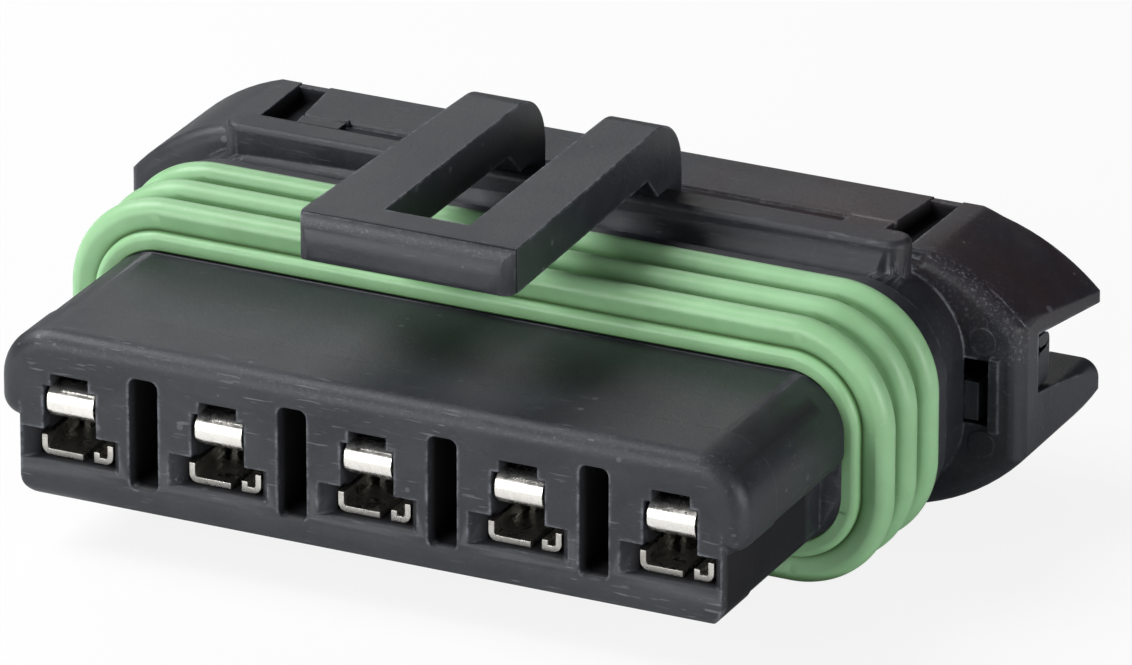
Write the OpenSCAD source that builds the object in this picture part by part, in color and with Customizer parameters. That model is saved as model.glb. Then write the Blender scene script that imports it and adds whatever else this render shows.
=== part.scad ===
// Sealed five-way in-line power connector, female half: one row of blade cavities in a plug nose,
// a ribbed interface seal round the nose, a shroud behind it for the cable seal and its retainer,
// and a loop-shaped lock lever on top.
// X runs along the row of cavities, -Y points at the mating half and +Z is up, where the lever is.
// The origin is the centre of the front face of the nose.

/* [Row of cavities] */
// Number of cavities
ways = 5; // [3:1:7]
// Distance between two cavities
pitch = 8; // [7.6:0.1:10]
// Inside of a cavity at the height of the blade
cavity_w = 2.86; // [2.7:0.02:3.2]
// Key slot at the top of a cavity
key_w = 2.04; // [1.6:0.02:2.4]
// Top of the key slot above the axis
key_top = 2.31; // [2.1:0.01:2.5]
// Top of the cavity above the axis
cavity_top = 1.67; // [1.6:0.01:1.9]
// Channel for the base of a terminal
channel_w = 4; // [3.9:0.05:4.4]
// Height of that channel
channel_h = 1.48; // [1.2:0.02:1.6]
// Floor of the channel below the axis
channel_floor = 2.36; // [2.3:0.02:2.6]
// Lead-in recess round the channel at the face
lead_w = 5.3; // [4.6:0.1:5.6]
// Depth of the lead-in
lead_depth = 0.9; // [0.5:0.1:1.5]
// Height of the lead-in above the channel
lead_rise = 0.24; // [0.1:0.02:0.4]
// Rear bore of a cavity, where the crimped end of a terminal lies
crimp_bore_d = 4.6; // [4.3:0.1:5.2]
// Front end of that bore
crimp_bore_y = 10; // [9:0.5:13]

/* [Slots between the cavities] */
// Width of a slot
slot_w = 1.57; // [1:0.01:1.8]
// Height of a slot
slot_h = 5.8; // [3:0.1:6.2]
// Corner radius of a slot
slot_r = 0.43; // [0.1:0.01:0.45]
// Depth of a slot
slot_depth = 9; // [3:0.5:10]

/* [Nose] */
// Nose beyond the outer cavity on each side, upper lobe
lobe_over = 3.95; // [3.6:0.05:4.5]
// Nose beyond the outer cavity on each side, lower part
plug_over = 2.7; // [2.4:0.05:3.3]
// Top of the nose above the axis
nose_top = 4.4; // [4.2:0.05:4.8]
// Bottom of the nose below the axis
nose_low = 4.4; // [4.2:0.05:4.8]
// Shoulder where the upper lobe ends, below the axis
shoulder_low = 0.45; // [0:0.05:1]
// Top corners of the nose
lobe_r = 2.8; // [1.5:0.1:3.5]
// Shoulder corners of the nose
shoulder_r = 1.1; // [1.05:0.05:1.5]
// Bottom corners of the nose
foot_r = 1.2; // [0.5:0.1:2]
// Rounding of the front edge
nose_edge_r = 1; // [0.3:0.1:1]
// Parting line of the mould, behind the face
parting_y = 3.5; // [2:0.1:6]
// Step of the surface at the parting line
parting_step = 0.05; // [0.02:0.01:0.1]

/* [Interface seal] */
// Front end of the seal behind the face
seal_y = 11.3; // [11:0.1:12]
// Length of the seal
seal_len = 6.8; // [6.6:0.1:7.4]
// Straight corner centres shared by the seal and the walls behind it, beyond the outer cavity
ring_over = 0.95; // [0.5:0.05:1.5]
// Height of those corner centres above and below the axis
ring_z = 1.6; // [1.2:0.1:1.8]
// Corner radius of the seat under the seal
seat_r = 2.8; // [2.4:0.05:3]
// Corner radius of the seal in its valleys
valley_r = 4; // [3.6:0.1:4.4]
// Corner radius of the seal over its ribs
rib_r = 5.25; // [4.8:0.05:5.6]
// Corner radius of the front lip
lip_r = 3.95; // [3.4:0.05:4.4]
// Number of ribs
ribs = 3; // [2:1:3]
// Distance between two ribs
rib_step = 2.57; // [2:0.01:2.6]
// Radius of a rib's crest
crest_r = 0.72; // [0.4:0.02:0.8]

/* [Flange, neck and end plate] */
// Corner radius of the flange behind the seal
flange_r = 4.75; // [4.3:0.05:5]
// Thickness of the flange
flange_t = 1.25; // [0.8:0.05:1.8]
// Corner radius of the neck
neck_r = 4.35; // [4:0.05:4.6]
// Front of the end plate behind the face
plate_y = 22.3; // [21.5:0.1:23]
// Thickness of the end plate
plate_t = 2; // [1.5:0.1:2.2]
// Raised bar across the top, beyond the outer cavity
bar_over = 2.5; // [2:0.1:3]
// Front of the bar behind the face
bar_y = 21.1; // [20.6:0.1:21.6]
// Width of the bar
bar_w = 1.9; // [1.4:0.1:2]
// Top of the bar above the axis
bar_top = 7.5; // [7:0.1:7.8]
// Rounding of the bar's top edges
bar_edge_r = 0.35; // [0.1:0.05:0.6]

/* [Shroud] */
// Rear end of the shroud behind the face
shroud_end = 29.35; // [28.6:0.05:31]
// Half height of the shroud
shroud_top = 6.65; // [6.5:0.05:7]
// Radius of the four big corners
shroud_r = 11; // [9.5:0.5:12]
// Big corner's axis beyond the outer cavity
shroud_over = 0.05; // [0:0.05:0.6]
// Big corner's axis from the middle plane, towards the opposite side
shroud_drop = 3.9; // [3.7:0.05:4.2]
// Flat side beyond the outer cavity
side_over = 9.4; // [9.1:0.1:9.6]
// How far the upper right wing has sprung out at its rear end
wing_set = 1.4; // [0.4:0.1:1.8]
// Wall above and below
shroud_wall = 1.25; // [0.9:0.05:1.5]
// Half width of the inside, beyond the outer cavity
inside_over = 6.8; // [6.6:0.05:7]
// Corner radius of the inside
inside_r = 4; // [3:0.1:4.5]
// Rounding of the front edge of the plate
plate_edge_r = 0.8; // [0.3:0.1:1]
// Rounding of that edge at the flat sides
column_r = 1.2; // [0.6:0.1:1.4]

/* [Openings of the shroud] */
// Slots beside the top panel: inner edge at the front, beyond the outer cavity
panel_over = -0.15; // [-0.6:0.05:0.3]
// How far that edge swings out towards the rear
panel_flare = 0.75; // [0:0.05:1]
// Outer edge of the slots, beyond the outer cavity
panel_slot_over = 1.95; // [1.7:0.05:2.2]
// Top of the side notches above the axis
notch_top = 2.7; // [2.2:0.1:3]
// Ledge of the side notches below the axis
notch_low = 0.4; // [0.2:0.05:0.8]
// Half height of the windows in the end plate
window_z = 1.7; // [1.5:0.1:2]
// Width of the windows
window_w = 2; // [1.6:0.1:2.2]
// Inner edge of the windows, beyond the outer cavity
window_over = 4.7; // [4.6:0.05:5]
// Ejector marks on the end plate, beyond the outer cavity
mark_over = 6.25; // [6:0.05:6.6]
// Height of the marks above and below the axis
mark_z = 2.7; // [2.5:0.05:2.9]
// Radius of a mark
mark_r = 0.7; // [0.4:0.05:0.75]
// Groove across the top panel: rear edge behind the face
groove_y = 25.85; // [25.6:0.05:26.4]
// Width of the groove
groove_w = 1.25; // [0.8:0.05:1.3]
// Width of its two narrow ends
groove_end_w = 0.4; // [0.2:0.05:0.6]
// Length of each narrow end
groove_end_len = 2.3; // [1:0.1:4]
// Depth of the groove
groove_depth = 0.35; // [0.2:0.05:0.5]

/* [Mat seal and retainer] */
// Front of the mat seal's chamber behind the face
chamber_y = 19.4; // [18.8:0.1:20]
// Corner radius of the chamber
chamber_r = 3.2; // [3:0.05:3.4]
// Cable holes in the mat seal
cable_hole_d = 2.6; // [2:0.1:3.4]
// Cable bores in the retainer
cable_bore_d = 4.4; // [4:0.1:5]
// Thickness of the retainer
retainer_t = 1.6; // [1.2:0.1:2.2]
// How far its lugs reach behind the end plate
lug_len = 1.1; // [0.9:0.1:1.5]
// How far the lugs stand out of the side openings
lug_out = 1.75; // [1.4:0.05:1.9]

/* [Lock lever] */
// Width of the finger window
finger_w = 4.5; // [4.2:0.1:5]
// Half width of the lever at its front
lever_front_hw = 5.6; // [5.3:0.1:6]
// Half width of the lever at its rear
lever_rear_hw = 5.15; // [5:0.05:5.3]
// Front of the lever behind the face
lever_y = 3.95; // [3.5:0.05:5]
// Width of the front bar
lever_bar_w = 2.7; // [2.2:0.1:3.2]
// Top of the lever above the axis, at the front
lever_top_front = 11.05; // [10.8:0.05:11.4]
// Top of the lever above the axis, at the rear
lever_top_rear = 11.1; // [10.9:0.05:11.6]
// Underside of the lever above the axis
lever_low = 8.75; // [8.5:0.05:9]
// Axis on which the feet turn, behind the face
hinge_y = 23.05; // [22.8:0.05:23.3]
// Height of that axis above the row
hinge_z = 7; // [6.8:0.05:7.2]
// Radius of the feet
foot_pivot_r = 1.4; // [1.2:0.05:1.5]
// Rounding of the front bar's upper edge
lever_nose_r = 1.3; // [0.6:0.1:1.4]
// Rounding of the front bar's lower edge
lip_fold = 0.5; // [0.2:0.1:0.8]
// Rounding of the front bar's corners in plan
bar_corner_r = 1.2; // [0.6:0.1:1.6]
// Mould's parting line round the front bar, behind its front
cap_len = 0.95; // [0.8:0.05:2]
// Radius of the outer bend at the rear
heel_r = 3; // [2:0.1:3.4]

/* [Terminals] */
// Thickness of the terminal strip
strip_t = 0.3; // [0.25:0.01:0.4]
// Width of the terminal's base
base_w = 3.86; // [3.6:0.02:3.9]
// Height of its turned-up lips
lip_h = 1; // [0.8:0.05:1.1]
// Outer radius of the bends below the lips
bend_r = 0.45; // [0.4:0.05:0.6]
// Length of the open base
base_len = 6; // [5:0.1:6.5]
// Front end of the terminal behind the face
terminal_y = 0.8; // [0.4:0.1:1.2]
// Width of the seam in the base
seam_w = 0.6; // [0.3:0.05:0.7]
// Height of the small lip beside the seam
seam_lip_h = 0.55; // [0.4:0.05:0.8]
// Outer width of the blade box
box_w = 2.76; // [2.6:0.02:3]
// Front of the blade box, behind the terminal's front end
box_set = 3.4; // [3:0.1:4]
// Length of the blade box
box_len = 4.6; // [4:0.1:5]
// Outer radius of the wings that hold the conductor
core_crimp_r = 1.3; // [1:0.1:1.6]
// Outer radius of the wings that hold the cable's cover
cover_crimp_r = 1.7; // [1.4:0.1:1.9]
// Underside of the crimped end, below the axis
crimp_drop = 1.7; // [1.5:0.1:1.9]
// Length of the crimped end, from the front of the rear bore
crimp_len = 8.5; // [8:0.1:9]
// Top of the open crimp wings above the axis
crimp_top = 1.2; // [0.8:0.1:1.3]
// Radius of the rolled contact spring
roll_r = 0.88; // [0.6:0.02:0.9]
// Width of that roll, in front of the blade box
roll_w = 2.5; // [2.3:0.05:2.6]
// Width of the contact spring inside the blade box
spring_w = 2.1; // [1.8:0.02:2.12]
// Thickness of the blade that the terminal takes
blade_t = 0.8; // [0.6:0.1:1]
// Thickness of the spring strip
spring_t = 0.2; // [0.15:0.01:0.3]

/* [Fits] */
// Gap between a soft seal and the wall it seats on
seal_gap = 0.05; // [0.02:0.01:0.1]
// Gap round the retainer in the shroud
retainer_gap = 0.1; // [0.05:0.01:0.2]
// Radial running gap of the lever's feet in their seats
pivot_gap = 0.05; // [0.03:0.01:0.08]
// Gap beside the feet
side_gap = 0.1; // [0.05:0.01:0.2]
// Gap between a terminal and its cavity
terminal_gap = 0.05; // [0.02:0.01:0.1]

/* [Hidden] */
$fn = 48;
eps = 0.01;
row_half = (ways - 1) * pitch / 2;
lobe_hw = row_half + lobe_over;
plug_hw = row_half + plug_over;
ring_x = row_half + ring_over;
flange_y = seal_y + seal_len;
neck_y = flange_y + flange_t;
bar_hw = row_half + bar_over;
side_x = row_half + side_over;
inside_x = row_half + inside_over;
inside_z = shroud_top - shroud_wall;
chamber_end = plate_y + plate_t;
window_x = row_half + window_over;
first_rib_y = seal_y + crest_r;
channel_top = channel_h - channel_floor;
terminal_floor = terminal_gap - channel_floor;
box_top = cavity_top - terminal_gap;
crimp_low = -crimp_drop;
crimp_end = crimp_bore_y + crimp_len;
lug_in = inside_x - retainer_gap;

TERMINALS = [for (k = [1 : ways]) str("terminal_", k)];
SPRINGS = [for (k = [1 : ways]) str("contact_spring_", k)];

function way_x(k) = (k - (ways + 1) / 2) * pitch;

// ---- general shapes ----

// Extrudes an outline drawn in X and Z along Y.
module along_y(from, to) {
    translate([0, to, 0]) rotate([90, 0, 0]) linear_extrude(to - from) children();
}

// Extrudes an outline drawn in Y and Z along X.
module along_x(from, to) {
    translate([from, 0, 0]) rotate([90, 0, 90]) linear_extrude(to - from) children();
}

// Extrudes an outline drawn in X and Y along Z.
module along_z(from, to) {
    translate([0, 0, from]) linear_extrude(to - from) children();
}

// A rectangle between two heights, with one radius for its lower corners and one for its upper ones.
module slab(hw, low, high, low_r, high_r) {
    translate([-hw, low + low_r]) square([2 * hw, high - high_r - low - low_r]);
    translate([low_r - hw, low]) square([2 * (hw - low_r), low_r + eps]);
    translate([high_r - hw, high - high_r - eps]) square([2 * (hw - high_r), high_r + eps]);
    for (s = [-1, 1]) {
        translate([s * (hw - low_r), low + low_r]) circle(low_r);
        translate([s * (hw - high_r), high - high_r]) circle(high_r);
    }
}

// The rounded outline that the seal, its seat and the walls behind it share.
module ring_outline(r) {
    slab(ring_x + r, -ring_z - r, ring_z + r, r, r);
}

// A disc along Y whose front rim is rounded.
module soft_disc(r, edge, len) {
    rotate([-90, 0, 0]) rotate_extrude() {
        square([r - edge, len]);
        translate([r - edge, edge]) square([edge, len - edge]);
        intersection() {
            translate([r - edge, edge]) circle(edge);
            square([r, edge]);
        }
    }
}

// A strip in Y and Z (or Y and X) whose two front corners are rounded.
module soft_strip(len, low, high, edge) {
    translate([edge, low]) square([len - edge, high - low]);
    translate([0, low + edge]) square([edge + eps, high - low - 2 * edge]);
    for (h = [low + edge, high - edge]) translate([edge, h]) circle(edge);
}

// ---- housing ----

module nose_lobe(hw, low, high, edge, len) {
    for (s = [-1, 1]) {
        translate([s * (hw - lobe_r), 0, high - lobe_r]) soft_disc(lobe_r, edge, len);
        translate([s * (hw - shoulder_r), 0, low + shoulder_r]) soft_disc(shoulder_r, edge, len);
    }
    along_x(lobe_r - hw, hw - lobe_r) soft_strip(len, low, high, edge);
    along_x(shoulder_r - hw, hw - shoulder_r) soft_strip(len, low, high - lobe_r, edge);
    along_z(low + shoulder_r, high - lobe_r) rotate(90) mirror([0, 1]) soft_strip(len, -hw, hw, edge);
}

// Outline of the nose below its shoulder.
module plug_outline(hw, low) {
    translate([-hw, low + foot_r]) square([2 * hw, -low - foot_r]);
    translate([foot_r - hw, low]) square([2 * (hw - foot_r), foot_r + eps]);
    for (s = [-1, 1]) translate([s * (hw - foot_r), low + foot_r]) circle(foot_r);
}

module nose_plug(hw, low, len) {
    intersection() {
        along_y(0, len) plug_outline(hw, low);
        along_x(-hw - 1, hw + 1) soft_strip(len, low, nose_top, nose_edge_r);
    }
}

module nose() {
    nose_lobe(lobe_hw, -shoulder_low, nose_top, nose_edge_r, parting_y);
    nose_plug(plug_hw, -nose_low, parting_y);
    along_y(parting_y - eps, seal_y) {
        slab(lobe_hw - parting_step, parting_step - shoulder_low, nose_top - parting_step, shoulder_r, lobe_r);
        plug_outline(plug_hw - parting_step, parting_step - nose_low);
    }
}

// End plate and shroud in one, as a closed block with a rounded front rim: flat above, below and at
// the sides, with four big corners.
module shroud_block() {
    cx = row_half + shroud_over;
    len = shroud_end - plate_y;
    reach = shroud_r + 1;
    translate([0, plate_y, 0]) intersection() {
        along_x(-side_x - 1, side_x + 1) soft_strip(len, -shroud_top, shroud_top, plate_edge_r);
        along_z(-reach, reach) rotate(90) mirror([0, 1]) soft_strip(len, -side_x, side_x, column_r);
        union() {
            translate([-cx, -1, -reach]) cube([2 * cx, len + 2, 2 * reach]);
            for (s = [-1, 1]) intersection() {
                translate([s * cx, 0, -shroud_drop]) soft_disc(shroud_r, plate_edge_r, len);
                translate([s * cx, 0, shroud_drop]) soft_disc(shroud_r, plate_edge_r, len);
                translate([s * (cx + reach / 2 - 1), len / 2, 0])
                    cube([reach, len + 2, 2 * reach], center = true);
            }
        }
    }
}

// The upper right wing leans outwards behind the plate: its corner turns on a tilted axis that
// ends where the corner is tangent to the flat top.
module sprung_wing() {
    from = plate_y + plate_edge_r;
    len = shroud_end - from;
    inset = 0.03;
    turn = atan(wing_set / len);
    dip = atan((shroud_r - shroud_top - shroud_drop) / len);
    wing_x = row_half + panel_slot_over - 1;
    intersection() {
        translate([row_half + shroud_over - inset, from, -shroud_drop]) rotate([-dip, 0, -turn])
            rotate([-90, 0, 0]) translate([0, 0, -len]) cylinder(r = shroud_r, h = 3 * len);
        translate([wing_x, from, 0]) cube([side_x - wing_x, len, shroud_top]);
    }
}

module top_bar() {
    r = bar_w / 2;
    e = bar_edge_r;
    stub = bar_top - neck_r - ring_z + 1;
    module post() {
        rotate_extrude() {
            square([r, stub - e]);
            square([r - e, stub]);
            intersection() {
                translate([r - e, stub - e]) circle(e);
                square([r, stub]);
            }
        }
    }
    translate([0, bar_y + r, bar_top - stub]) {
        for (s = [-1, 1]) translate([s * (bar_hw - r), 0, 0]) post();
        along_x(r - bar_hw, bar_hw - r) {
            translate([-r, 0]) square([2 * r, stub - e]);
            translate([e - r, 0]) square([2 * (r - e), stub]);
            for (s = [-1, 1]) translate([s * (r - e), stub - e]) circle(e);
        }
    }
}

module cavity(x) {
    translate([x, 0, 0]) {
        along_y(-1, crimp_bore_y + 1) translate([-key_w / 2, 0]) square([key_w, key_top]);
        along_y(-1, chamber_y + 1) translate([-cavity_w / 2, channel_top - eps])
            square([cavity_w, cavity_top - channel_top + eps]);
        along_y(-1, crimp_bore_y + 1) translate([-channel_w / 2, -channel_floor]) square([channel_w, channel_h]);
        along_z(-channel_floor, channel_top + lead_rise) polygon([
            [-lead_w / 2, -1], [lead_w / 2, -1], [lead_w / 2, 0],
            [channel_w / 2, lead_depth], [-channel_w / 2, lead_depth], [-lead_w / 2, 0]
        ]);
        translate([0, crimp_bore_y, 0]) rotate([-90, 0, 0])
            cylinder(d = crimp_bore_d, h = chamber_y + 1 - crimp_bore_y);
    }
}

module face_slot(x) {
    hw = slot_w / 2;
    hh = slot_h / 2;
    translate([x, 0, 0]) along_y(-1, slot_depth) {
        square([slot_w, 2 * (hh - slot_r)], center = true);
        square([2 * (hw - slot_r), slot_h], center = true);
        for (s = [-1, 1], t = [-1, 1])
            translate([s * (hw - slot_r), t * (hh - slot_r)]) circle(slot_r, $fn = 32);
    }
}

// Opening between the top panel and a wing.
module panel_slot(s) {
    inner = row_half + panel_over;
    outer = row_half + panel_slot_over;
    along_z(inside_z - 1, shroud_top + 1) polygon([
        [s * inner, bar_y + bar_w], [s * outer, bar_y + bar_w],
        [s * (outer + 0.15), shroud_end + 1], [s * (inner + panel_flare), shroud_end + 1]
    ]);
}

// Shallow groove across the top panel, narrow at both ends.
module panel_groove() {
    hw = row_half - groove_end_len;
    ends = row_half + panel_over + panel_flare;
    along_z(shroud_top - groove_depth, shroud_top + 1) {
        translate([-hw, groove_y - groove_w]) square([2 * hw, groove_w]);
        translate([-ends, groove_y - groove_end_w]) square([2 * ends, groove_end_w - 0.1]);
    }
}

// Opening in the side wall, with the ledge's outer edge rounded.
module side_notch(s) {
    ledge_r = 0.9;
    translate([s * (inside_x - 1), chamber_end, -notch_low])
        mirror([s < 0 ? 1 : 0, 0, 0]) cube([side_x, shroud_end, notch_top + notch_low]);
    difference() {
        translate([s * side_x, (chamber_end + shroud_end + 1) / 2, -notch_low])
            cube([2 * ledge_r, shroud_end + 1 - chamber_end, 2 * ledge_r], center = true);
        translate([s * (side_x - ledge_r), chamber_end - 1, -notch_low - ledge_r]) rotate([-90, 0, 0])
            cylinder(r = ledge_r, h = shroud_end);
    }
}

module end_window(s) {
    translate([s * (window_x + window_w / 2), plate_y + plate_t / 2, 0])
        cube([window_w, plate_t + 2, 2 * window_z], center = true);
}

module ejector_mark(x, z) {
    proud = 0.03;
    translate([x, plate_y - proud, z]) rotate([-90, 0, 0]) cylinder(r = mark_r, h = plate_t / 2);
}

// Raised pad beside a window.
module window_pad(s) {
    pad_w = 0.9;
    pad_h = 2 * window_z + 0.5;
    pad_proud = 0.3;
    translate([s * (window_x + window_w + pad_w / 2), plate_y - pad_proud + plate_t / 4, 0])
        cube([pad_w, plate_t / 2, pad_h], center = true);
}

module lever_seat(s) {
    hw = (lever_rear_hw - finger_w / 2) / 2 + side_gap;
    mid = s * (lever_rear_hw + finger_w / 2) / 2;
    translate([mid, hinge_y, hinge_z]) rotate([0, 90, 0])
        cylinder(r = foot_pivot_r + pivot_gap, h = 2 * hw, center = true);
    translate([mid - hw, hinge_y - foot_pivot_r - pivot_gap, hinge_z])
        cube([2 * hw, 2 * (foot_pivot_r + pivot_gap), 5]);
}

module housing() {
    color([0.18, 0.18, 0.2]) difference() {
        union() {
            nose();
            along_y(seal_y - eps, flange_y + eps) ring_outline(seat_r);
            along_y(flange_y, neck_y) ring_outline(flange_r);
            along_y(neck_y - eps, plate_y + eps) ring_outline(neck_r);
            difference() {
                union() {
                    shroud_block();
                    sprung_wing();
                }
                panel_groove();
                along_y(chamber_end, shroud_end + 1)
                    slab(inside_x, -inside_z, inside_z, inside_r, inside_r);
                for (s = [-1, 1]) {
                    panel_slot(s);
                    side_notch(s);
                    end_window(s);
                }
            }
            top_bar();
            for (s = [-1, 1]) {
                for (z = [-mark_z, mark_z]) ejector_mark(s * (row_half + mark_over), z);
                window_pad(s);
            }
        }
        for (k = [1 : ways]) cavity(way_x(k));
        for (k = [1 : ways - 1]) face_slot((way_x(k) + way_x(k + 1)) / 2);
        along_y(chamber_y, chamber_end + 1) ring_outline(chamber_r);
        for (s = [-1, 1]) lever_seat(s);
    }
}

// ---- lever ----

// The loop seen from the side, as wide as hw on each side.
module lever_side(hw) {
    leg_y = hinge_y - foot_pivot_r;
    heel_y = hinge_y + foot_pivot_r;
    module bend(y, z, r, qy, qz) {
        intersection() {
            translate([-hw, y, z]) rotate([0, 90, 0]) cylinder(r = r, h = 2 * hw);
            translate([0, y + qy * r / 2, z + qz * r / 2]) cube([2 * hw, r + eps, r + eps], center = true);
        }
    }
    along_x(-hw, hw) polygon([
        [lever_y + lip_fold, lever_low],
        [lever_y, lever_low + lip_fold],
        [lever_y, lever_top_front - lever_nose_r],
        [lever_y + lever_nose_r, lever_top_front],
        [heel_y - heel_r, lever_top_rear],
        [heel_y, lever_top_rear - heel_r],
        [heel_y, hinge_z],
        [leg_y, hinge_z],
        [leg_y, lever_low - lever_nose_r],
        [leg_y - lever_nose_r, lever_low]
    ]);
    bend(lever_y + lever_nose_r, lever_top_front - lever_nose_r, lever_nose_r, -1, 1);
    bend(lever_y + lip_fold, lever_low + lip_fold, lip_fold, -1, -1);
    bend(heel_y - heel_r, lever_top_rear - heel_r, heel_r, 1, 1);
    translate([-hw, hinge_y, hinge_z]) rotate([0, 90, 0]) cylinder(r = foot_pivot_r, h = 2 * hw);
}

module lever_plan() {
    front_r = bar_corner_r;
    difference() {
        union() {
            polygon([
                [-lever_front_hw, lever_y + front_r], [front_r - lever_front_hw, lever_y],
                [lever_front_hw - front_r, lever_y], [lever_front_hw, lever_y + front_r],
                [lever_rear_hw, hinge_y], [lever_rear_hw, hinge_y + 3],
                [-lever_rear_hw, hinge_y + 3], [-lever_rear_hw, hinge_y]
            ]);
            for (s = [-1, 1]) translate([s * (lever_front_hw - front_r), lever_y + front_r]) circle(front_r);
        }
        translate([-finger_w / 2, lever_y + lever_bar_w])
            square([finger_w, hinge_y - foot_pivot_r - lever_y - lever_bar_w]);
    }
}

// Fine groove over the top and down both sides of the front bar.
module cap_line() {
    line_w = 0.07;
    cut = 0.07;
    wide = 2 * lever_front_hw;
    translate([0, lever_y + cap_len, lever_top_front]) {
        cube([wide, line_w, 2 * cut], center = true);
        for (s = [-1, 1]) translate([s * lever_front_hw, 0, 0]) cube([2 * cut, line_w, wide], center = true);
    }
}

module lock_lever() {
    color([0.18, 0.18, 0.2]) intersection() {
        lever_side(lever_front_hw + 1);
        difference() {
            along_z(hinge_z - 3, lever_top_rear + 1) lever_plan();
            cap_line();
            // the two feet stand apart below the heel
            translate([-finger_w / 2, hinge_y - heel_r, hinge_z - heel_r])
                cube([finger_w, 2 * heel_r, lever_low - hinge_z + heel_r]);
        }
    }
}

// ---- seals ----

// Outline of the seal's wall along Y, drawn at a distance from the corner's axis.
module seal_profile(inner) {
    lip_edge = 0.3;
    translate([inner, 0]) square([valley_r - inner, seal_len]);
    translate([inner, 0]) square([lip_r - inner - lip_edge, crest_r]);
    translate([inner, lip_edge]) square([lip_r - inner, crest_r]);
    translate([lip_r - lip_edge, lip_edge]) circle(lip_edge);
    for (k = [0 : ribs - 1]) {
        y = first_rib_y + k * rib_step - seal_y;
        translate([rib_r - crest_r, y]) circle(crest_r);
        translate([valley_r - eps, y - crest_r]) square([rib_r - crest_r - valley_r + eps, 2 * crest_r]);
    }
}

module ring_of_profile(inner, y0) {
    translate([0, y0, 0]) {
        for (s = [-1, 1], t = [-1, 1]) translate([s * ring_x, 0, t * ring_z]) rotate([-90, 0, 0])
            rotate_extrude() children();
        for (t = [0, 180]) rotate([0, t, 0]) {
            translate([-ring_x, 0, ring_z]) rotate([90, 0, 90]) linear_extrude(2 * ring_x)
                mirror([1, 0]) rotate(90) children();
            translate([ring_x, 0, -ring_z]) linear_extrude(2 * ring_z) children();
        }
    }
}

module interface_seal() {
    color([0.55, 0.78, 0.53]) difference() {
        ring_of_profile(seat_r, seal_y) seal_profile(0.5);
        along_y(seal_y - 1, flange_y + 1) ring_outline(seat_r + seal_gap);
    }
}

module mat_seal() {
    front = chamber_y + seal_gap;
    len = chamber_end - chamber_y - 2 * seal_gap;
    valley = 0.3;
    rib_len = 0.8;
    end = 0.4;
    mat_step = (len - rib_len - 2 * end) / 2;
    color([0.55, 0.78, 0.53]) difference() {
        union() {
            along_y(front, front + len) ring_outline(chamber_r - seal_gap - valley);
            for (k = [0 : 2]) translate([0, front + end + k * mat_step, 0])
                along_y(0, rib_len) ring_outline(chamber_r - seal_gap);
        }
        for (k = [1 : ways]) translate([way_x(k), front - 1, 0]) rotate([-90, 0, 0])
            cylinder(d = cable_hole_d, h = len + 2);
    }
}

// Arm through a window of the end plate, with its catch towards the middle.
module retainer_arm(s) {
    arm_w = 0.75;
    arm_h = 2;
    arm_z = -0.5;
    catch_w = 0.4;
    catch_len = 0.8;
    arm_x = window_x + window_w / 2;
    translate([s * arm_x, plate_y + plate_t / 2 + 0.5, arm_z])
        cube([arm_w, plate_t + 1, arm_h], center = true);
    translate([s * (arm_x - arm_w / 2), plate_y + catch_len, arm_z])
        cube([2 * catch_w, catch_len, arm_h], center = true);
}

// Lug in the side opening, rounded at its rear, with a drop-shaped pocket behind the end plate.
module retainer_lug(s) {
    low = 0.1 - notch_low;
    high = notch_top - 0.4;
    rear = chamber_end + seal_gap + lug_len;
    outer = lug_in + lug_out;
    pocket_r = 0.36;
    pocket_y = chamber_end + 0.35;
    pocket_z = high - 0.75;
    pocket_depth = 0.8;
    module rounded(r) {
        translate([chamber_end + seal_gap, low]) square([lug_len - r, high - low]);
        translate([rear - r - eps, low + r]) square([r + eps, high - low - 2 * r]);
        for (z = [low + r, high - r]) translate([rear - r, z]) circle(r);
    }
    mirror([s < 0 ? 1 : 0, 0, 0]) difference() {
        along_x(lug_in - 0.15, outer) rounded(0.5);
        translate([outer - pocket_depth, pocket_y, pocket_z]) rotate([0, 90, 0]) cylinder(r = pocket_r, h = 2);
        along_x(outer - pocket_depth, outer + 1) polygon([
            [pocket_y - pocket_r, pocket_z],
            [pocket_y + pocket_r, pocket_z],
            [pocket_y, pocket_z - 2 * pocket_r]
        ]);
    }
}

module seal_retainer() {
    color([0.16, 0.16, 0.18]) difference() {
        union() {
            along_y(chamber_end + seal_gap, chamber_end + seal_gap + retainer_t)
                slab(lug_in, retainer_gap - inside_z, inside_z - retainer_gap, inside_r, inside_r);
            for (s = [-1, 1]) {
                retainer_arm(s);
                retainer_lug(s);
            }
        }
        for (k = [1 : ways]) translate([way_x(k), chamber_end - 1, 0]) rotate([-90, 0, 0])
            cylinder(d = cable_bore_d, h = retainer_t + 4);
    }
}

// ---- terminals ----

module u_wing(y0, y1, hw, low, high) {
    along_y(y0, y1) difference() {
        union() {
            translate([0, low + hw]) circle(hw);
            translate([-hw, low + hw]) square([2 * hw, high - low - hw]);
        }
        translate([0, low + hw]) circle(hw - strip_t);
        translate([strip_t - hw, low + hw]) square([2 * (hw - strip_t), high - low - hw + 1]);
    }
}

// Flat base with two turned-up lips.
module tray(y0, y1, hw, low, high) {
    along_y(y0, y1) difference() {
        union() {
            translate([-hw, low + bend_r]) square([2 * hw, high - low - bend_r]);
            translate([bend_r - hw, low]) square([2 * (hw - bend_r), bend_r + eps]);
            for (s = [-1, 1]) translate([s * (hw - bend_r), low + bend_r]) circle(bend_r);
        }
        translate([strip_t - hw, low + bend_r]) square([2 * (hw - strip_t), high - low]);
        translate([bend_r - hw, low + strip_t]) square([2 * (hw - bend_r), high - low]);
        for (s = [-1, 1]) translate([s * (hw - bend_r), low + bend_r]) circle(bend_r - strip_t);
    }
}

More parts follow.
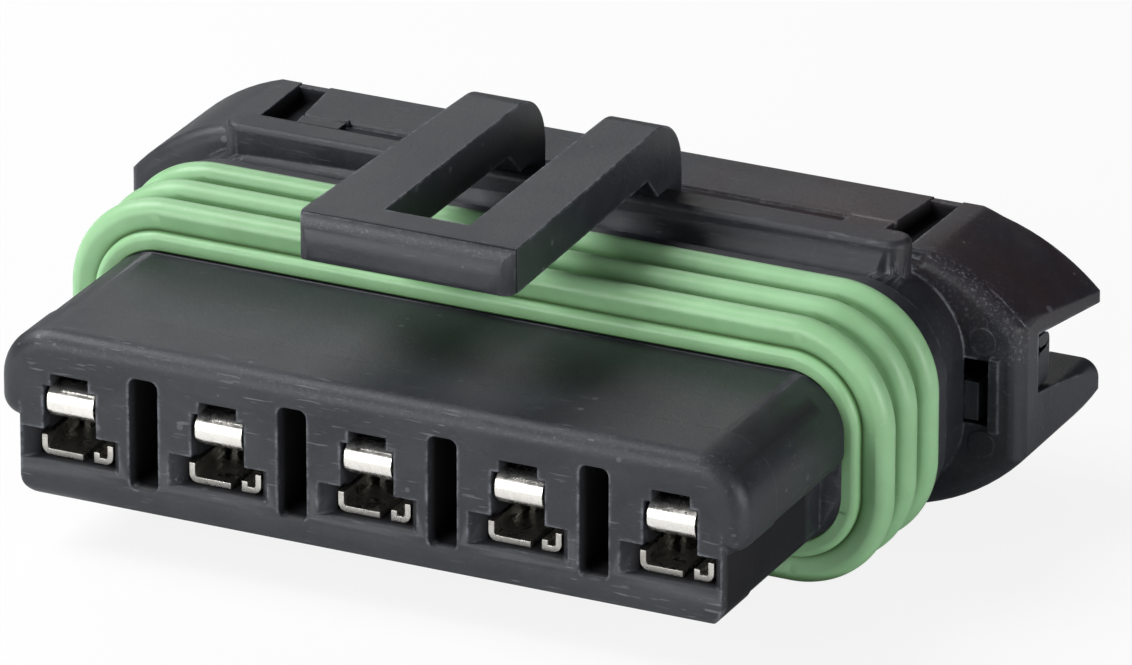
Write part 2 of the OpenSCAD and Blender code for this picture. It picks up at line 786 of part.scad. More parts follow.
module terminal(x) {
    box_y = terminal_y + box_set;
    box_end = box_y + box_len;
    neck_hw = 0.6;
    color([0.83, 0.82, 0.78]) translate([x, 0, 0]) {
        difference() {
            tray(terminal_y, terminal_y + base_len, base_w / 2, terminal_floor, terminal_floor + lip_h);
            translate([seam_w / 2, terminal_y - 1, terminal_floor - 1]) cube([seam_w, box_set + 1, 2]);
        }
        translate([1.5 * seam_w, terminal_y, terminal_floor]) cube([strip_t, box_set, seam_lip_h]);
        difference() {
            translate([-box_w / 2, box_y, terminal_floor]) cube([box_w, box_len, box_top - terminal_floor]);
            translate([strip_t - box_w / 2, box_y - 1, terminal_floor + strip_t])
                cube([box_w - 2 * strip_t, box_len + 2, box_top - terminal_floor - 2 * strip_t]);
        }
        u_wing(crimp_bore_y + 1, crimp_bore_y + 4.5, core_crimp_r, crimp_low, crimp_top);
        u_wing(crimp_end - 3, crimp_end, cover_crimp_r, crimp_low, crimp_top);
        along_x(-neck_hw, neck_hw) polygon([
            [box_end - 1, terminal_floor],
            [crimp_bore_y + 0.2, terminal_floor],
            [crimp_bore_y + 1, crimp_low],
            [crimp_end, crimp_low],
            [crimp_end, crimp_low + strip_t],
            [crimp_bore_y + 0.9, crimp_low + strip_t],
            [crimp_bore_y + 0.1, terminal_floor + strip_t],
            [box_end - 1, terminal_floor + strip_t]
        ]);
    }
}

// Spring strip: a roll at the mouth, an upper arm under the roof of the blade box and a lower arm
// that presses on the blade. It is wide at the roll and narrow inside the box.
module contact_spring(x) {
    roll_y = roll_r + 0.05;
    roll_z = box_top - roll_r;
    box_y = terminal_y + box_set;
    roof_z = box_top - strip_t - 0.02;
    blade_z = terminal_floor + strip_t + blade_t;
    hw = roll_w / 2 + 0.5;
    past = 2 * hw + 2;
    line_w = 0.05;
    line_z = roll_z + 0.12;
    color([0.9, 0.9, 0.88]) translate([x, 0, 0]) intersection() {
        union() {
            difference() {
                translate([-hw, roll_y, roll_z]) rotate([0, 90, 0]) cylinder(r = roll_r, h = 2 * hw);
                translate([-hw - 1, roll_y, roll_z]) rotate([0, 90, 0]) cylinder(r = roll_r - spring_t, h = past);
                translate([-hw - 1, roll_y, roll_z - roll_r - 1]) cube([past, roll_r + 1, 2 * roll_r + 2]);
                // fine line across the front of the roll
                translate([-hw - 1, -1, line_z]) cube([past, 1 + roll_y - roll_r + line_w, line_w]);
            }
            along_x(-hw, hw) polygon([
                [roll_y - eps, box_top],
                [box_y - 0.3, roof_z],
                [box_y + box_len - 0.5, roof_z],
                [box_y + box_len - 0.5, roof_z - spring_t],
                [box_y - 0.3, roof_z - spring_t],
                [roll_y - eps, box_top - spring_t]
            ]);
            along_x(-hw, hw) polygon([
                [roll_y - eps, box_top - 2 * roll_r],
                [box_y + 1.2, blade_z],
                [box_y + 2.6, blade_z + 0.35],
                [box_y + 2.6, blade_z + 0.35 + spring_t],
                [box_y + 1.2, blade_z + spring_t],
                [roll_y - eps, box_top - 2 * roll_r + spring_t]
            ]);
        }
        along_z(-channel_floor, key_top) polygon([
            [-roll_w / 2, -1], [roll_w / 2, -1], [roll_w / 2, box_y - 0.9],
            [spring_w / 2, box_y - 0.5], [spring_w / 2, box_y + box_len], [-spring_w / 2, box_y + box_len],
            [-spring_w / 2, box_y - 0.5], [-roll_w / 2, box_y - 0.9]
        ]);
    }
}

housing();
lock_lever();
interface_seal();
mat_seal();
seal_retainer();
for (k = [1 : ways]) {
    terminal(way_x(k));
    contact_spring(way_x(k));
}
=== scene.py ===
from math import radians, sin, cos
import bpy
from mathutils import Matrix, Vector


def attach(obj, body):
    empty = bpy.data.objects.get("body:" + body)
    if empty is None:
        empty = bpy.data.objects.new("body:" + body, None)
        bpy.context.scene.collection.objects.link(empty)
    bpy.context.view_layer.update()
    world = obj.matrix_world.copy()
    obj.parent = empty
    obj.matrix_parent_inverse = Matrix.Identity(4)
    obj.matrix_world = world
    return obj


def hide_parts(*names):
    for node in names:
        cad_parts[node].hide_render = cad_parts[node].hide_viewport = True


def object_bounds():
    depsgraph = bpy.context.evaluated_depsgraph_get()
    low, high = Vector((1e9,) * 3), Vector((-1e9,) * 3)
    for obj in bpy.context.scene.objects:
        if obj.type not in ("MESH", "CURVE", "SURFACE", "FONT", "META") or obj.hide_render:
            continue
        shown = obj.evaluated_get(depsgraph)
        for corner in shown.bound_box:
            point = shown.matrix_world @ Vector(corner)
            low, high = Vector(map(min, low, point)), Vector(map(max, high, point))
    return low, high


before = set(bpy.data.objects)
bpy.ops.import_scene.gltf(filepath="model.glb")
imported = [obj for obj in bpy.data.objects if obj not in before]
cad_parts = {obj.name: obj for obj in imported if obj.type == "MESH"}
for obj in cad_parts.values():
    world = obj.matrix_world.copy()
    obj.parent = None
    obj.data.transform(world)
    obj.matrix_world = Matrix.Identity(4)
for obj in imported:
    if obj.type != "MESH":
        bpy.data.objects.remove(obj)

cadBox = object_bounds()
mm = 0.001

cameraSettings = {
    "turn": 25.48,          # degrees round the object, from the front towards its right end
    "height": 22.94,        # degrees above the row of cavities
    "roll": 0.09,
    "distance": 625.8 * mm,
    "aside": 9.52 * mm,     # how far the view's centre lies right of the origin
    "above": 7.0 * mm,      # and above it
    "lens": 416.6,
    "sensor": 36.0,
    "reach": 20,            # nothing past this many metres is drawn
}


def makeCamera(s):
    turn = radians(s["turn"])
    height = radians(s["height"])
    roll = radians(s["roll"])
    back = Vector((sin(turn) * cos(height), -cos(turn) * cos(height), sin(height)))
    flatRight = Vector((cos(turn), sin(turn), 0))
    flatUp = back.cross(flatRight)
    right = flatRight * cos(roll) + flatUp * sin(roll)
    up = flatUp * cos(roll) - flatRight * sin(roll)
    place = right * s["aside"] + up * s["above"] + back * s["distance"]
    lens = bpy.data.cameras.new("camera")
    lens.lens = s["lens"]
    lens.sensor_width = s["sensor"]
    lens.clip_end = s["reach"]
    camera = bpy.data.objects.new("camera", lens)
    bpy.context.scene.collection.objects.link(camera)
    turned = Matrix((right, up, back)).transposed().to_4x4()
    camera.matrix_world = Matrix.Translation(place) @ turned
    bpy.context.scene.camera = camera


lightSettings = {
    "key": {"at": (-0.17, -0.02, 0.20), "size": 0.14, "power": 0.64},
    "front": {"at": (-0.17, -0.39, 0.13), "size": 0.26, "power": 1.15},
    "right": {"at": (0.34, -0.10, 0.05), "size": 0.20, "power": 0.85},
    "back": {"at": (-0.25, 0.35, 0.25), "size": 0.25, "power": 0.33},
}
lightTarget = Vector((0, 12 * mm, 0))   # about the middle of the connector


def makeLights(table):
    for name, s in table.items():
        lamp = bpy.data.lights.new(name + "Light", "AREA")
        lamp.size = s["size"]
        lamp.energy = s["power"]
        light = bpy.data.objects.new(name + "Light", lamp)
        bpy.context.scene.collection.objects.link(light)
        light.location = s["at"]
        aim = Vector(s["at"]) - lightTarget
        light.rotation_euler = aim.to_track_quat("Z", "Y").to_euler()


def setInputs(tree, node, values):
    for key, value in (values or {}).items():
        if isinstance(value, bpy.types.NodeSocket):
            tree.links.new(value, node.inputs[key])
        else:
            node.inputs[key].default_value = value


def addNode(tree, kind, attributes=None, values=None):
    made = tree.nodes.new("ShaderNode" + kind)
    for key, value in (attributes or {}).items():
        setattr(made, key, value)
    setInputs(tree, made, values)
    return made


def useGroup(tree, group, values=None):
    return addNode(tree, "Group", {"node_tree": group}, values)


def maths(tree, operation, first, second=0.0, clamp=False):
    made = addNode(tree, "Math", {"operation": operation, "use_clamp": clamp}, {0: first, 1: second})
    return made.outputs[0]


def vectors(tree, operation, values):
    return addNode(tree, "VectorMath", {"operation": operation}, values).outputs


def remap(tree, value, low, high, toLow=0.0, toHigh=1.0, smooth=False):
    kind = "SMOOTHSTEP" if smooth else "LINEAR"
    values = {"Value": value, "From Min": low, "From Max": high, "To Min": toLow, "To Max": toHigh}
    return addNode(tree, "MapRange", {"interpolation_type": kind}, values).outputs[0]


def blendColour(tree, factor, first, second):
    made = addNode(tree, "Mix", {"data_type": "RGBA"}, {0: factor, 6: first, 7: second})
    return made.outputs[2]


def newGroup(name, inputs, outputs):
    tree = bpy.data.node_groups.new(name, "ShaderNodeTree")
    for label, kind, value in inputs:
        socket = tree.interface.new_socket(label, in_out="INPUT", socket_type="NodeSocket" + kind)
        if value is not None:
            socket.default_value = value
    for label, kind in outputs:
        tree.interface.new_socket(label, in_out="OUTPUT", socket_type="NodeSocket" + kind)
    return tree, tree.nodes.new("NodeGroupInput"), tree.nodes.new("NodeGroupOutput")


seedInput = ("Seed", "Float", 0.0)
seedShift = (0.11, 0.07, 0.05)      # metres that a pattern slides when its seed goes up by one


def seededPlace(tree, seed):
    place = addNode(tree, "TexCoord").outputs["Object"]
    shift = vectors(tree, "SCALE", {0: seedShift, "Scale": seed})[0]
    return vectors(tree, "ADD", {0: place, 1: shift})[0]


def noise(tree, place, scale, detail=2.0, roughness=0.5, distortion=0.0):
    values = {"Vector": place, "Scale": scale, "Detail": detail}
    values.update({"Roughness": roughness, "Distortion": distortion})
    return addNode(tree, "TexNoise", None, values).outputs["Fac"]


# below, a noise is given as its scale per metre, detail, roughness and distortion,
# and limits are the values between which it goes from nothing to full

grainSettings = {
    "fine": (7000, 3.0, 0.6),
    "fineShare": 0.6,
    "coarse": (1900, 2.0, 0.5),
    "coarseShare": 0.4,
    "patches": (170, 5.0, 0.68, 0.6),
    "patchLimits": (0.42, 0.66),
    "patchShare": 0.65,
    "specks": (3800, 2.0, 0.7),
    "speckLimits": (0.52, 0.74),
    "speckShare": 0.45,
}


def makeGrainGroup(s):
    # moulded grain: a fine height, and a broad uneven dustiness
    tree, given, result = newGroup("mouldGrain", [seedInput], [("Height", "Float"), ("Dust", "Float")])
    place = seededPlace(tree, given.outputs["Seed"])
    fine = maths(tree, "MULTIPLY", noise(tree, place, *s["fine"]), s["fineShare"])
    coarse = maths(tree, "MULTIPLY", noise(tree, place, *s["coarse"]), s["coarseShare"])
    tree.links.new(maths(tree, "ADD", fine, coarse), result.inputs["Height"])
    patches = remap(tree, noise(tree, place, *s["patches"]), *s["patchLimits"])
    specks = remap(tree, noise(tree, place, *s["specks"]), *s["speckLimits"])
    broad = maths(tree, "MULTIPLY", patches, s["patchShare"])
    small = maths(tree, "MULTIPLY", specks, s["speckShare"])
    tree.links.new(maths(tree, "ADD", broad, small, True), result.inputs["Dust"])
    return tree


scratchSettings = {
    # direction in degrees, scale across and along, and the level above which a scratch shows
    "directions": ((4, 6400, 620, 0.675), (-13, 5200, 520, 0.69), (71, 5600, 800, 0.69)),
    "line": (1.0, 1.0, 0.4),
    "soft": 0.035,
    "patches": 330,
    "patchLimits": (0.5, 0.68),
}


def makeScratchGroup(s):
    # thin marks in three directions, broken up so that each stays short
    tree, given, result = newGroup("fineScratches", [seedInput], [("Mask", "Float")])
    place = seededPlace(tree, given.outputs["Seed"])
    mask = 0.0
    for turn, thin, long, level in s["directions"]:
        values = {"Vector": place, "Rotation": (0, 0, radians(turn)), "Scale": (long, thin, thin)}
        spun = addNode(tree, "Mapping", None, values).outputs[0]
        lines = remap(tree, noise(tree, spun, *s["line"]), level, level + s["soft"])
        patches = remap(tree, noise(tree, place, s["patches"] + abs(turn)), *s["patchLimits"])
        mask = maths(tree, "MAXIMUM", mask, maths(tree, "MULTIPLY", lines, patches))
    tree.links.new(mask, result.inputs["Mask"])
    return tree


pitSettings = {
    "scale": 900.0,
    "rare": 0.72,           # share of the cells that have no pit
    "largest": 0.2,
    "soft": 0.06,
}


def makePitGroup(s):
    # scattered small pits and specks of different sizes
    tree, given, result = newGroup("smallPits", [seedInput], [("Mask", "Float")])
    place = seededPlace(tree, given.outputs["Seed"])
    cells = addNode(tree, "TexVoronoi", None, {"Vector": place, "Scale": s["scale"]})
    chance = addNode(tree, "SeparateColor", None, {0: cells.outputs["Color"]}).outputs[0]
    size = remap(tree, chance, s["rare"], 1.0, 0.0, s["largest"])
    mask = remap(tree, maths(tree, "SUBTRACT", size, cells.outputs["Distance"]), 0.0, s["soft"])
    tree.links.new(mask, result.inputs["Mask"])
    return tree


edgeSettings = {
    "leanLimits": (0.012, 0.12),
    "ragged": (1500, 4.0, 0.75),
    "raggedLimits": (0.42, 0.66),
}


def makeEdgeGroup(s):
    # edges, from how far the rounded normal leans away from the true one
    inputs = [seedInput, ("Rounded", "Vector", None)]
    tree, given, result = newGroup("wornEdges", inputs, [("Mask", "Float")])
    place = seededPlace(tree, given.outputs["Seed"])
    true = addNode(tree, "NewGeometry").outputs["Normal"]
    likeness = vectors(tree, "DOT_PRODUCT", {0: true, 1: given.outputs["Rounded"]})["Value"]
    edge = remap(tree, maths(tree, "SUBTRACT", 1.0, likeness), *s["leanLimits"])
    ragged = remap(tree, noise(tree, place, *s["ragged"]), *s["raggedLimits"])
    tree.links.new(maths(tree, "MULTIPLY", edge, ragged), result.inputs["Mask"])
    return tree


def makeZoneGroup():
    # 1 inside a soft-edged box
    inputs = [("Low", "Vector", None), ("High", "Vector", None), ("Soft", "Float", 2 * mm)]
    tree, given, result = newGroup("softZone", inputs, [("Mask", "Float")])
    place = addNode(tree, "TexCoord").outputs["Object"]
    above = vectors(tree, "SUBTRACT", {0: place, 1: given.outputs["Low"]})[0]
    below = vectors(tree, "SUBTRACT", {0: given.outputs["High"], 1: place})[0]
    least = vectors(tree, "MINIMUM", {0: above, 1: below})[0]
    parts = addNode(tree, "SeparateXYZ", None, {0: least}).outputs
    depth = maths(tree, "MINIMUM", maths(tree, "MINIMUM", parts[0], parts[1]), parts[2])
    share = maths(tree, "DIVIDE", depth, given.outputs["Soft"], True)
    tree.links.new(share, result.inputs["Mask"])
    return tree


grainGroup = makeGrainGroup(grainSettings)
scratchGroup = makeScratchGroup(scratchSettings)
pitGroup = makePitGroup(pitSettings)
edgeGroup = makeEdgeGroup(edgeSettings)
zoneGroup = makeZoneGroup()
print("stage: node groups made")


def newMaterial(name):
    material = bpy.data.materials.new(name)
    material.use_nodes = True
    return material, material.node_tree, material.node_tree.nodes["Principled BSDF"]


def roundedNormal(tree, radius, samples=4):
    return addNode(tree, "Bevel", {"samples": samples}, {"Radius": radius}).outputs[0]


def addBump(tree, shader, s, height, rounded):
    values = {"Strength": s["bump"], "Distance": s["bumpDepth"], "Height": height, "Normal": rounded}
    tree.links.new(addNode(tree, "Bump", None, values).outputs[0], shader.inputs["Normal"])


plasticColours = {
    "base": (0.0165, 0.0182, 0.0240, 1),
    "dusty": (0.040, 0.043, 0.050, 1),
    # edge wear, and painted glints along some edges
    "wearAndGlint": (0.20, 0.215, 0.245, 1),
    "scratched": (0.125, 0.13, 0.145, 1),
    # painted reddish sheen
    "reddishSheen": (0.030, 0.0175, 0.020, 1),
    # painted shade for the hollows
    "inside": (0.006, 0.006, 0.0085, 1),
}
plasticSettings = {
    "dustCover": 0.8,
    "pitCover": 0.5,
    # painted glints: bright specks along some edges
    "paintedGlints": (6200, 3.0, 0.7),
    "paintedGlintLimits": (0.54, 0.7),
    "sheen": (190, 2.0),
    "sheenLimits": (0.2, 0.6),
    "dustRough": 0.14,      # what each adds to the roughness
    "markRough": 0.1,
    "insideRough": 0.5,
    "markDepth": 0.4,
    "bump": 0.6,
    "bumpDepth": 0.04 * mm,
    "bandSamples": 6,
    "ior": 1.47,
}
# edges look rounded over the radius "round" in mm, and show wear over "band"
plasticLooks = {
    "housing": {"seed": 1.0, "rough": 0.44, "wear": 0.5, "scuffs": 0.4, "round": 0.14, "band": 0.3},
    "lock_lever": {"seed": 4.0, "rough": 0.42, "wear": 0.9, "scuffs": 0.25, "round": 0.1, "band": 0.3},
    "seal_retainer": {"seed": 8.0, "rough": 0.5, "wear": 0.3, "scuffs": 0.2, "round": 0.1, "band": 0.2},
}
# boxes in mm, whose edges fade over "soft", where a piece shows more of something
plasticZones = {
    "housing": (
        # right corner of the shroud, and painted glints with the wear along its front edge
        {"low": (15, 20.5, 1), "high": (27, 25.5, 11), "soft": 0.8, "wear": 1.2},
        {"low": (16.5, 22.1, 1.6), "high": (26, 23.6, 8), "soft": 0.4, "paintedGlint": 0.55},
        # painted glints along the top edge of the face, and the whole face
        {"low": (-20.5, -0.3, 3.3), "high": (20.5, 1.4, 4.7), "soft": 0.4, "paintedGlint": 0.16},
        {"low": (-22, -1, -8), "high": (22, 1.2, 5), "soft": 0.3, "marks": 0.45, "wear": 0.6},
        # painted reddish sheen on the right rear, and on top of the nose
        {"low": (4, 21, 2), "high": (28, 32, 12), "soft": 2.0, "sheen": 0.75},
        {"low": (8, 0.5, 3), "high": (20, 9, 6), "soft": 3.0, "sheen": 0.35},
        # painted shade inside the cavities, and in the slots on both sides of the panel
        {"low": (-19.4, 0.3, -4.1), "high": (19.4, 10, 4.0), "soft": 0.5, "inside": 1.0},
        {"low": (-18.7, 22.9, 4), "high": (-15.4, 29.4, 6.55), "soft": 0.25, "inside": 0.9},
        {"low": (15.4, 22.9, 4), "high": (18.7, 29.4, 6.55), "soft": 0.25, "inside": 0.9},
    ),
    "lock_lever": (
        # painted glints on the top front edge, and painted shade in the groove behind it
        {"low": (-6.2, 3.7, 10.45), "high": (6, 4.8, 11.2), "soft": 0.3, "paintedGlint": 0.4},
        {"low": (-6.3, 4.86, 8.4), "high": (6.2, 4.97, 11.6), "soft": 0.03, "inside": 0.9},
    ),
    "seal_retainer": (),
}


def zoneMask(tree, zone):
    values = {"Low": [v * mm for v in zone["low"]], "High": [v * mm for v in zone["high"]]}
    values["Soft"] = zone["soft"] * mm
    return useGroup(tree, zoneGroup, values).outputs["Mask"]


def addShare(tree, total, share, mask, pattern):
    part = maths(tree, "MULTIPLY", maths(tree, "MULTIPLY", pattern, mask), share)
    return maths(tree, "ADD", total, part, True)


def makePlastic(name, look, zones, s):
    material, tree, shader = newMaterial(name)
    place = addNode(tree, "TexCoord").outputs["Object"]
    rounded = roundedNormal(tree, look["round"] * mm)
    band = roundedNormal(tree, look["band"] * mm, s["bandSamples"])
    grain = useGroup(tree, grainGroup, {"Seed": look["seed"]}).outputs
    scratch = useGroup(tree, scratchGroup, {"Seed": look["seed"]}).outputs[0]
    pits = useGroup(tree, pitGroup, {"Seed": look["seed"]}).outputs[0]
    edges = useGroup(tree, edgeGroup, {"Seed": look["seed"], "Rounded": band}).outputs[0]
    paintedGlints = remap(tree, noise(tree, place, *s["paintedGlints"]), *s["paintedGlintLimits"])
    sheenPattern = remap(tree, noise(tree, place, *s["sheen"]), *s["sheenLimits"])
    # the wear total also holds the painted glints, and one total is painted shade in the hollows
    totals = {
        "wear": maths(tree, "MULTIPLY", edges, look["wear"]),
        "marks": maths(tree, "MULTIPLY", scratch, look["scuffs"]),
        "sheen": 0.0,
        "inside": 0.0,
    }
    # what a zone can name, the total that it adds to, and the pattern that it follows
    effects = (
        ("wear", "wear", edges),
        ("paintedGlint", "wear", paintedGlints),
        ("marks", "marks", scratch),
        ("sheen", "sheen", sheenPattern),
        ("inside", "inside", 1.0),
    )
    for zone in zones:
        mask = zoneMask(tree, zone)
        for effect, total, pattern in effects:
            if effect in zone:
                totals[total] = addShare(tree, totals[total], zone[effect], mask, pattern)
    marks = totals["marks"]
    inside = totals["inside"]
    dust = maths(tree, "MULTIPLY", grain["Dust"], s["dustCover"])
    pitted = maths(tree, "MULTIPLY", pits, s["pitCover"])
    colour = blendColour(tree, dust, plasticColours["base"], plasticColours["dusty"])
    # painted reddish sheen on the right rear and the nose top
    colour = blendColour(tree, totals["sheen"], colour, plasticColours["reddishSheen"])
    colour = blendColour(tree, marks, colour, plasticColours["scratched"])
    colour = blendColour(tree, pitted, colour, plasticColours["scratched"])
    # edge wear, with painted glints along some edges
    colour = blendColour(tree, totals["wear"], colour, plasticColours["wearAndGlint"])
    # painted shade in the cavities, the slots and the lever's groove
    colour = blendColour(tree, inside, colour, plasticColours["inside"])
    tree.links.new(colour, shader.inputs["Base Color"])
    rough = maths(tree, "ADD", maths(tree, "MULTIPLY", grain["Dust"], s["dustRough"]), look["rough"])
    rough = maths(tree, "ADD", rough, maths(tree, "MULTIPLY", marks, s["markRough"]), True)
    rough = maths(tree, "ADD", rough, maths(tree, "MULTIPLY", inside, s["insideRough"]), True)
    tree.links.new(rough, shader.inputs["Roughness"])
    height = maths(tree, "SUBTRACT", grain["Height"], maths(tree, "MULTIPLY", marks, s["markDepth"]))
    addBump(tree, shader, s, height, rounded)
    shader.inputs["IOR"].default_value = s["ior"]
    return material


siliconeSettings = {
    "crest": (0.335, 0.60, 0.33, 1),
    "base": (0.275, 0.50, 0.265, 1),
    # painted shade in the valleys between the ribs
    "valleyShade": (0.10, 0.205, 0.075, 1),
    "speck": (0.5, 0.68, 0.46, 1),
    "round": 0.08 * mm,
    "openReach": 1.3 * mm,      # how far round a point counts towards how open it lies
    "openSamples": 8,
    "openLimits": (0.32, 0.86),
    "clouds": (260, 3.0, 0.6),
    "cloudLimits": (0.35, 0.7),
    "specks": (5200, 2.0, 0.7),
    "speckLimits": (0.62, 0.8),
    "speckCover": 0.25,
    "rough": 0.31,
    "cloudRough": 0.12,
    "skin": (2600, 3.0, 0.6),
    "bump": 0.25,
    "bumpDepth": 0.02 * mm,
    "ior": 1.42,
    "scatter": 0.15,
    "scatterReach": (0.4 * mm, 0.6 * mm, 0.35 * mm),
}


def makeSilicone(name, s):
    material, tree, shader = newMaterial(name)
    place = addNode(tree, "TexCoord").outputs["Object"]
    rounded = roundedNormal(tree, s["round"])
    # painted shade: the less room round a point, the more of the darker valley colour it gets
    nearby = addNode(tree, "AmbientOcclusion", {"samples": s["openSamples"]}, {"Distance": s["openReach"]})
    light = remap(tree, nearby.outputs["AO"], *s["openLimits"], smooth=True)
    clouds = remap(tree, noise(tree, place, *s["clouds"]), *s["cloudLimits"])
    specks = remap(tree, noise(tree, place, *s["specks"]), *s["speckLimits"])
    colour = blendColour(tree, clouds, s["base"], s["crest"])
    colour = blendColour(tree, light, s["valleyShade"], colour)
    colour = blendColour(tree, maths(tree, "MULTIPLY", specks, s["speckCover"]), colour, s["speck"])
    tree.links.new(colour, shader.inputs["Base Color"])
    rough = maths(tree, "ADD", maths(tree, "MULTIPLY", clouds, s["cloudRough"]), s["rough"])
    tree.links.new(rough, shader.inputs["Roughness"])
    addBump(tree, shader, s, noise(tree, place, *s["skin"]), rounded)
    shader.inputs["IOR"].default_value = s["ior"]
    shader.inputs["Subsurface Weight"].default_value = s["scatter"]
    shader.inputs["Subsurface Radius"].default_value = s["scatterReach"]
    shader.inputs["Subsurface Scale"].default_value = 1.0
    return material


tinLooks = {
    "terminal": {"seed": 2.0, "light": (0.72, 0.71, 0.67, 1), "dull": (0.34, 0.32, 0.28, 1), "rough": 0.26},
    "spring": {"seed": 6.0, "light": (0.97, 0.955, 0.91, 1), "dull": (0.80, 0.775, 0.71, 1), "rough": 0.2},
}
tinSettings = {
    "round": 0.05 * mm,
    "drawn": (5200, 500, 900),  # scales along X, Y and Z, lowest along the strip
    "streaks": (1.0, 3.0, 0.6),
    "streakShare": 0.25,
    "stain": (1300, 4.0, 0.65, 0.5),
    "stainLimits": (0.42, 0.68),
    "stainShare": 0.55,
    "stainRough": 0.16,
    "bump": 0.3,
    "bumpDepth": 0.02 * mm,
}


def makeTin(name, look, s):
    material, tree, shader = newMaterial(name)
    place = seededPlace(tree, look["seed"])
    rounded = roundedNormal(tree, s["round"])
    drawn = addNode(tree, "Mapping", None, {"Vector": place, "Scale": s["drawn"]}).outputs[0]
    streaks = noise(tree, drawn, *s["streaks"])
    stain = remap(tree, noise(tree, place, *s["stain"]), *s["stainLimits"])
    stained = maths(tree, "MULTIPLY", stain, s["stainShare"])
    dull = maths(tree, "ADD", stained, maths(tree, "MULTIPLY", streaks, s["streakShare"]), True)
    tree.links.new(blendColour(tree, dull, look["light"], look["dull"]), shader.inputs["Base Color"])
    rough = maths(tree, "ADD", maths(tree, "MULTIPLY", stain, s["stainRough"]), look["rough"])
    tree.links.new(rough, shader.inputs["Roughness"])
    addBump(tree, shader, s, streaks, rounded)
    shader.inputs["Metallic"].default_value = 1.0
    return material


plastics = {}
for name, look in plasticLooks.items():
    plastics[name] = makePlastic(name + "Plastic", look, plasticZones[name], plasticSettings)
silicone = makeSilicone("silicone", siliconeSettings)
tins = {name: makeTin(name + "Tin", look, tinSettings) for name, look in tinLooks.items()}
print("stage: materials made")


def dress(piece, material):
    piece.data.materials.clear()
    piece.data.materials.append(material)


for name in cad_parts:
    node = bpy.data.objects[name]
    if "spring" in name:
        dress(node, tins["spring"])
    elif "terminal" in name:
        dress(node, tins["terminal"])
    elif name in ("interface_seal", "mat_seal"):
        dress(node, silicone)
    else:
        dress(node, plastics[name])
print("stage: frame dressed")


# all in mm
near = 0.05     # a corner this close to a face lies on it
past = 0.1      # how far a tool reaches past what it cuts
margin = 1      # how far one tool stands over another

finishSettings = {
    "merge": 0.001 * mm,        # corners closer than this are one
    "flat": radians(0.6),       # faces that lean less than this to each other become one
    "smooth": 35,               # edges sharper than this, in degrees, stay sharp
    "weight": 100,              # how far the large faces set the shading
}


def activate(piece):
    bpy.ops.object.select_all(action="DESELECT")
    piece.select_set(True)
    bpy.context.view_layer.objects.active = piece


def editing(piece, action="DESELECT"):
    activate(piece)
    bpy.ops.object.mode_set(mode="EDIT")
    bpy.ops.mesh.select_mode(type="VERT")
    bpy.ops.mesh.select_all(action=action)


def doneEditing():
    bpy.ops.object.mode_set(mode="OBJECT")


def moveWhere(piece, test, by):
    # moves the vertices that the test accepts, both given in mm
    editing(piece)
    doneEditing()
    for vertex in piece.data.vertices:
        vertex.select = test(vertex.co / mm)
    bpy.ops.object.mode_set(mode="EDIT")
    bpy.ops.transform.translate(value=[v * mm for v in by])
    doneEditing()


def makeBlock(name, *spans):
    # a box from its spans along X, Y and Z, in mm
    bpy.ops.object.select_all(action="DESELECT")
    bpy.ops.mesh.primitive_cube_add(size=1, location=[(low + high) / 2 * mm for low, high in spans])
    block = bpy.context.object
    block.name = name
    block.scale = [(high - low) * mm for low, high in spans]
    bpy.ops.object.transform_apply(location=True, rotation=True, scale=True)
    return block


def bothWays(half):
    return (-half, half)


def combine(piece, tool, operation):
    activate(piece)
    change = piece.modifiers.new("change", "BOOLEAN")
    change.operation = operation
    change.solver = "EXACT"
    change.object = tool
    bpy.ops.object.modifier_apply(modifier=change.name)
    bpy.data.objects.remove(tool)


def mergedCopy(node, name):
    source = bpy.data.objects[node]
    mesh = source.data.copy()
    mesh.transform(source.matrix_world)
    piece = bpy.data.objects.new(name, mesh)
    bpy.context.scene.collection.objects.link(piece)
    editing(piece, "SELECT")
    bpy.ops.mesh.remove_doubles(threshold=finishSettings["merge"])
    doneEditing()
    return piece


def joinFlatFaces(piece):
    editing(piece, "SELECT")
    bpy.ops.mesh.dissolve_limited(angle_limit=finishSettings["flat"], use_dissolve_boundaries=False)
    doneEditing()


def finishPiece(piece, node, material, smooth=finishSettings["smooth"], body="body"):
    joinFlatFaces(piece)
    bpy.ops.object.shade_smooth_by_angle(angle=radians(smooth))
    weighted = piece.modifiers.new("weighted", "WEIGHTED_NORMAL")
    weighted.mode = "FACE_AREA"
    weighted.weight = finishSettings["weight"]
    weighted.keep_sharp = True
    bpy.ops.object.modifier_apply(modifier=weighted.name)
    dress(piece, material)
    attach(piece, body)
    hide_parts(node)
    print("stage:", piece.name, len(piece.data.polygons), "faces")


shellSettings = {
    "plateSide": 24.35,
    "rearSide": 25.47,
    "plateFront": 22.3,
    "plateRear": 24.3,
    "rear": 29.35,
    "columnRound": 0.8,
    "columnSteps": 8,
    "webZ": (-0.3, 0.6),        # band of the face that lies flush across the lobe's lower edge
    "webHalf": 18.65,
    "webFrom": 0.3,             # the band is a slice from here on, drawn out to the face
    "webDepth": 0.5,
    "rimX": (16.3, 18.3),       # each slot beside the panel has a floor, and a rim at the rear
    "rimY": (28.95, 29.33),
    "rimZ": (5.42, 6.6),
    "floorX": (15.6, 18.5),
    "floorY": (22.9, 29.32),
    "floorZ": (5.42, 5.75),
    "frontHalf": 23.2,          # the shell stays whole this far out in front of the plate
    "wasteHalf": 27,
    "wasteHigh": 13,
}


